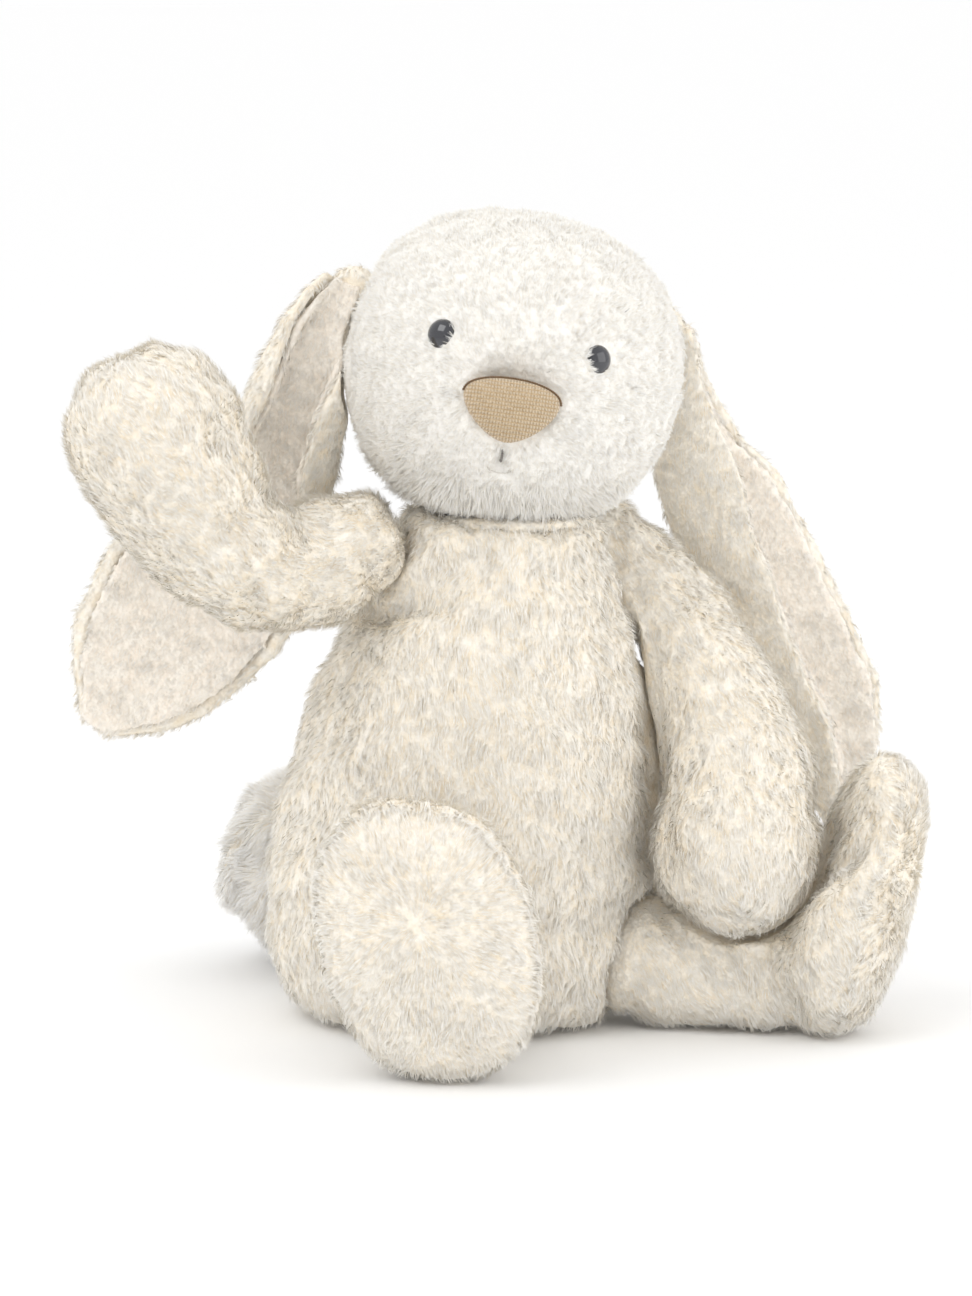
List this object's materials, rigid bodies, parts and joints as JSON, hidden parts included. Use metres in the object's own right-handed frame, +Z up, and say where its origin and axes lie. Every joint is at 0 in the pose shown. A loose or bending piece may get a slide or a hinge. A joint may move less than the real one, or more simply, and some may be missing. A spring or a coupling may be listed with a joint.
{
  "type": "stuffed bunny rabbit",
  "caption": "Seated stuffed bunny with long lop ears, one paw raised in a wave, soft white fur, woven nose, round tail and dark bead eyes.",
  "frame": {"origin": "on the floor under the middle of the body, at the centre of the flat seat panel", "axes": "+Z up; the bunny's body faces -Y; its own left is +X; the head is turned 34 degrees to its right"},
  "size_m": [0.4207, 0.3596, 0.374],
  "materials": {
    "fur_fabric": "soft dense pile about 9 mm long",
    "long_fur": "fluffy pile about 18 mm long",
    "ear_lining": "short soft pile",
    "nose_cloth": "ribbed woven cloth with a fine glitter",
    "stuffing": "polyester fibre",
    "cotton": "plain woven cotton",
    "seam_thread": "sewing thread",
    "grey_thread": "sewing thread",
    "eye_plastic": "polished",
    "washer_plastic": "moulded"
  },
  "bodies": {
    "torso": {"torso_front_left_panel": "fur_fabric", "torso_front_right_panel": "fur_fabric", "torso_back_left_panel": "fur_fabric", "torso_back_right_panel": "fur_fabric", "torso_seat_panel": "fur_fabric", "torso_stuffing": "stuffing", "pellet_pouch": "cotton"},
    "neck": {"neck_seam": "seam_thread"},
    "head": {"head_right_panel": "fur_fabric", "head_left_panel": "fur_fabric", "head_gusset": "fur_fabric", "head_stuffing": "stuffing", "nose_cover": "nose_cloth", "nose_padding": "stuffing", "eye_right": "eye_plastic", "eye_right_washer": "washer_plastic", "eye_left": "eye_plastic", "eye_left_washer": "washer_plastic", "mouth_stitch": "grey_thread", "chin_stitch": "grey_thread"},
    "arm_right": {"arm_right_front_panel": "fur_fabric", "arm_right_back_panel": "fur_fabric", "arm_right_stuffing": "stuffing"},
    "leg_right": {"leg_right_left_panel": "fur_fabric", "leg_right_right_panel": "fur_fabric", "foot_right_sole": "fur_fabric", "leg_right_stuffing": "stuffing"},
    "ear_right": {"ear_right_fur_panel": "fur_fabric", "ear_right_lining": "ear_lining"},
    "arm_left": {"arm_left_front_panel": "fur_fabric", "arm_left_back_panel": "fur_fabric", "arm_left_stuffing": "stuffing"},
    "leg_left": {"leg_left_left_panel": "fur_fabric", "leg_left_right_panel": "fur_fabric", "foot_left_sole": "fur_fabric", "leg_left_stuffing": "stuffing"},
    "ear_left": {"ear_left_fur_panel": "fur_fabric", "ear_left_lining": "ear_lining"},
    "tail": {"tail_left_panel": "long_fur", "tail_right_panel": "long_fur", "tail_stuffing": "stuffing"}
  },
  "joints": [
    {"name": "neck_turn", "type": "hinge", "parent": "torso", "child": "neck", "pos_m": [0, -0.033, 0.304], "axis": [0, 0, 1], "range_deg": [-3, 4]},
    {"name": "neck_nod", "type": "hinge", "parent": "neck", "child": "head", "pos_m": [0, -0.033, 0.304], "axis": [1, 0, 0], "range_deg": [-3, 5]},
    {"name": "ear_right_flop", "type": "hinge", "parent": "head", "child": "ear_right", "pos_m": [-0.05, 0.026, 0.341], "axis": [0, 1, 0], "range_deg": [0, 10]},
    {"name": "ear_left_flop", "type": "hinge", "parent": "head", "child": "ear_left", "pos_m": [0.084, -0.039, 0.32], "axis": [0, -1, 0], "range_deg": [0, 15]},
    {"name": "arm_right_swing", "type": "hinge", "parent": "torso", "child": "arm_right", "pos_m": [-0.075, -0.013, 0.224], "axis": [0, 1, 0], "range_deg": [-6, 12]},
    {"name": "arm_left_swing", "type": "hinge", "parent": "torso", "child": "arm_left", "pos_m": [0.062, -0.024, 0.22], "axis": [-1, 0, 0], "range_deg": [0, 30]},
    {"name": "leg_right_swing", "type": "hinge", "parent": "torso", "child": "leg_right", "pos_m": [-0.048, -0.066, 0.031], "axis": [0, 0, -1], "range_deg": [0, 12]},
    {"name": "leg_left_swing", "type": "hinge", "parent": "torso", "child": "leg_left", "pos_m": [0.048, -0.066, 0.031], "axis": [0, 0, 1], "range_deg": [0, 8]},
    {"name": "tail_wag", "type": "hinge", "parent": "torso", "child": "tail", "pos_m": [0, 0.088, 0.05], "axis": [0, 0, 1], "range_deg": [-8, 8]}
  ]
}
